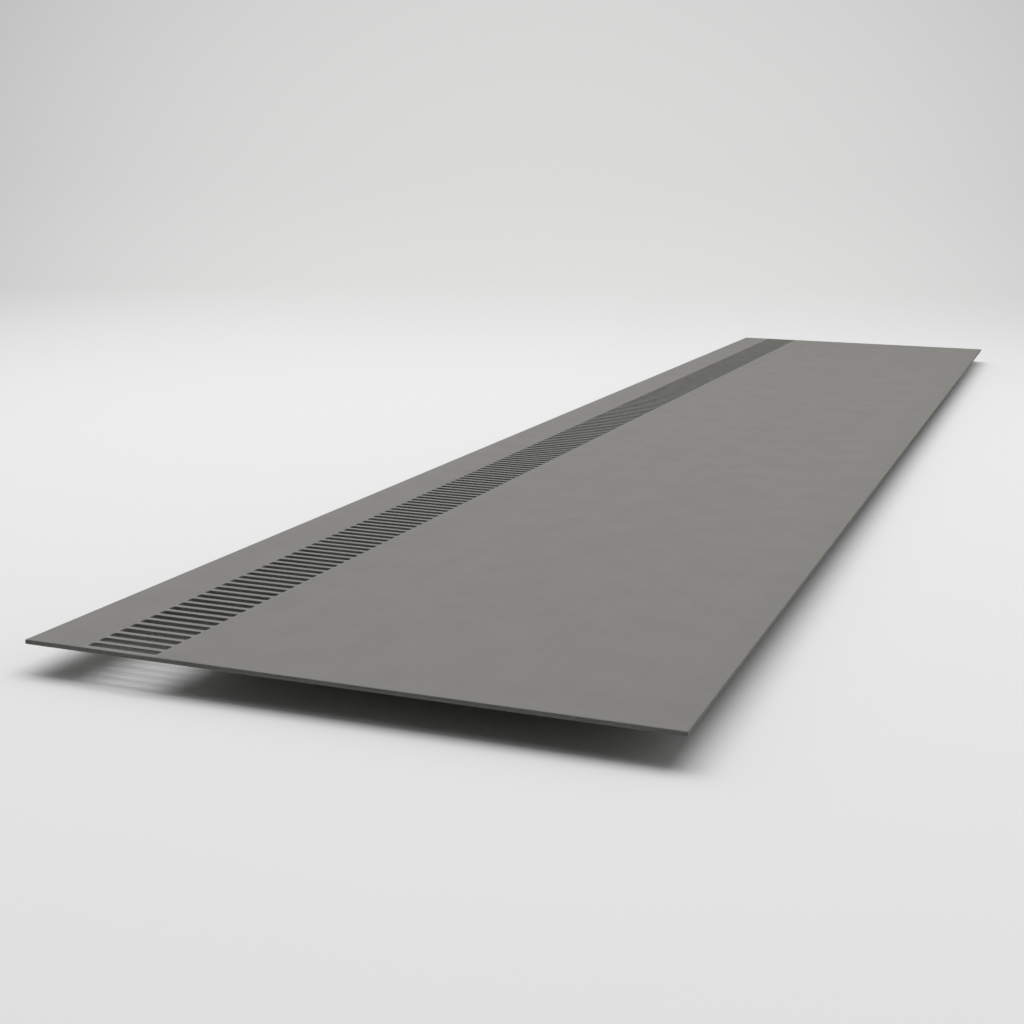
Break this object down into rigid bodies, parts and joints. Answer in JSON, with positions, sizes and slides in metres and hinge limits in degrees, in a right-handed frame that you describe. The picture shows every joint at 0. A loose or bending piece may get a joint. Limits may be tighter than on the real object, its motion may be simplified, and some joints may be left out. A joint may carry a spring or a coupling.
{
  "type": "vented soffit board",
  "caption": "Flat rectangular fibre-cement eaves lining sheet with one row of cross-cut air slots beside a long edge.",
  "frame": {"origin": "middle of the back face, the face that meets the eaves framing", "axes": "+X across the width, away from the slotted long edge; +Y along the length; +Z out of the show face"},
  "size_m": [0.6, 3, 0.004],
  "materials": {
    "fibre_cement": "smooth matt grey sheet face, square-cut edges"
  },
  "bodies": {
    "root": {"soffit_board": "fibre_cement"}
  },
  "joints": []
}
